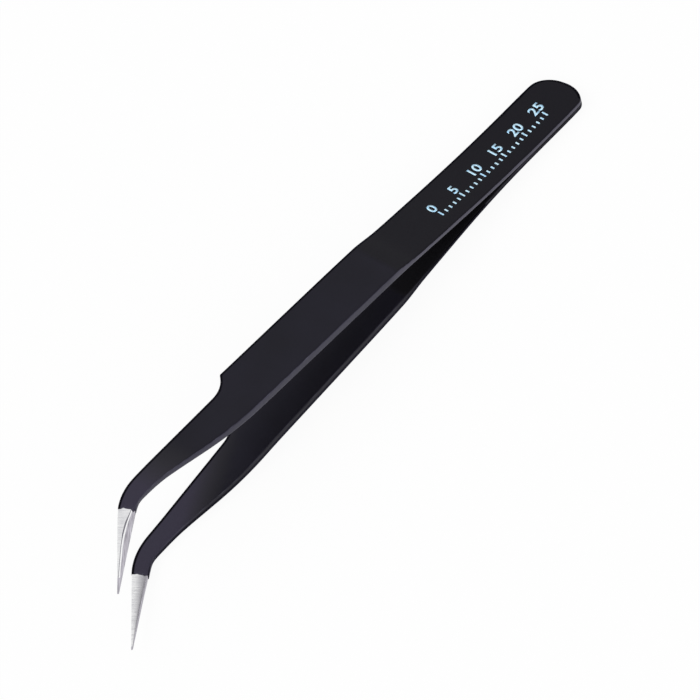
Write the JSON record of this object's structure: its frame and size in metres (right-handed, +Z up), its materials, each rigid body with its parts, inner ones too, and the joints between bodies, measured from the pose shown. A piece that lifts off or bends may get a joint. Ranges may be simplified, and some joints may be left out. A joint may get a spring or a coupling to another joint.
{
  "type": "curved tweezers",
  "caption": "Fine-point tweezers with points bent to one side, spring steel blades welded at the tail and a black conductive coating that leaves the points bare.",
  "frame": {"origin": "centre of the tool's box, at the floor it lies on", "axes": "X along the tool with the points towards -X, Y across the blades with the points bent towards -Y, Z up out of the upper blade"},
  "size_m": [0.1208, 0.016, 0.0156],
  "materials": {
    "steel": "ground and fine-brushed stainless steel",
    "coating": "satin black conductive epoxy"
  },
  "bodies": {
    "tail": {"upper_blade_tail": "steel", "lower_blade_tail": "steel", "weld_nuggets": "steel", "upper_tail_coating": "coating", "lower_tail_coating": "coating"},
    "upper_arm": {"upper_blade_arm": "steel", "upper_arm_coating": "coating"},
    "lower_arm": {"lower_blade_arm": "steel", "lower_arm_coating": "coating"}
  },
  "joints": [
    {"name": "upper_flexure", "type": "hinge", "parent": "tail", "child": "upper_arm", "pos_m": [0.03437, 0.00348, 0.0031], "axis": [0, -1, 0], "range_deg": [0, 3.95], "stiffness_Nm_per_rad": 1.37},
    {"name": "lower_flexure", "type": "hinge", "parent": "tail", "child": "lower_arm", "pos_m": [0.03429, 0.00348, 0.00198], "axis": [0, -1, 0], "range_deg": [-3.95, 0], "stiffness_Nm_per_rad": 1.37}
  ],
  "couplings": [
    {"joint": "lower_flexure", "follows": "upper_flexure", "ratio": -1}
  ]
}
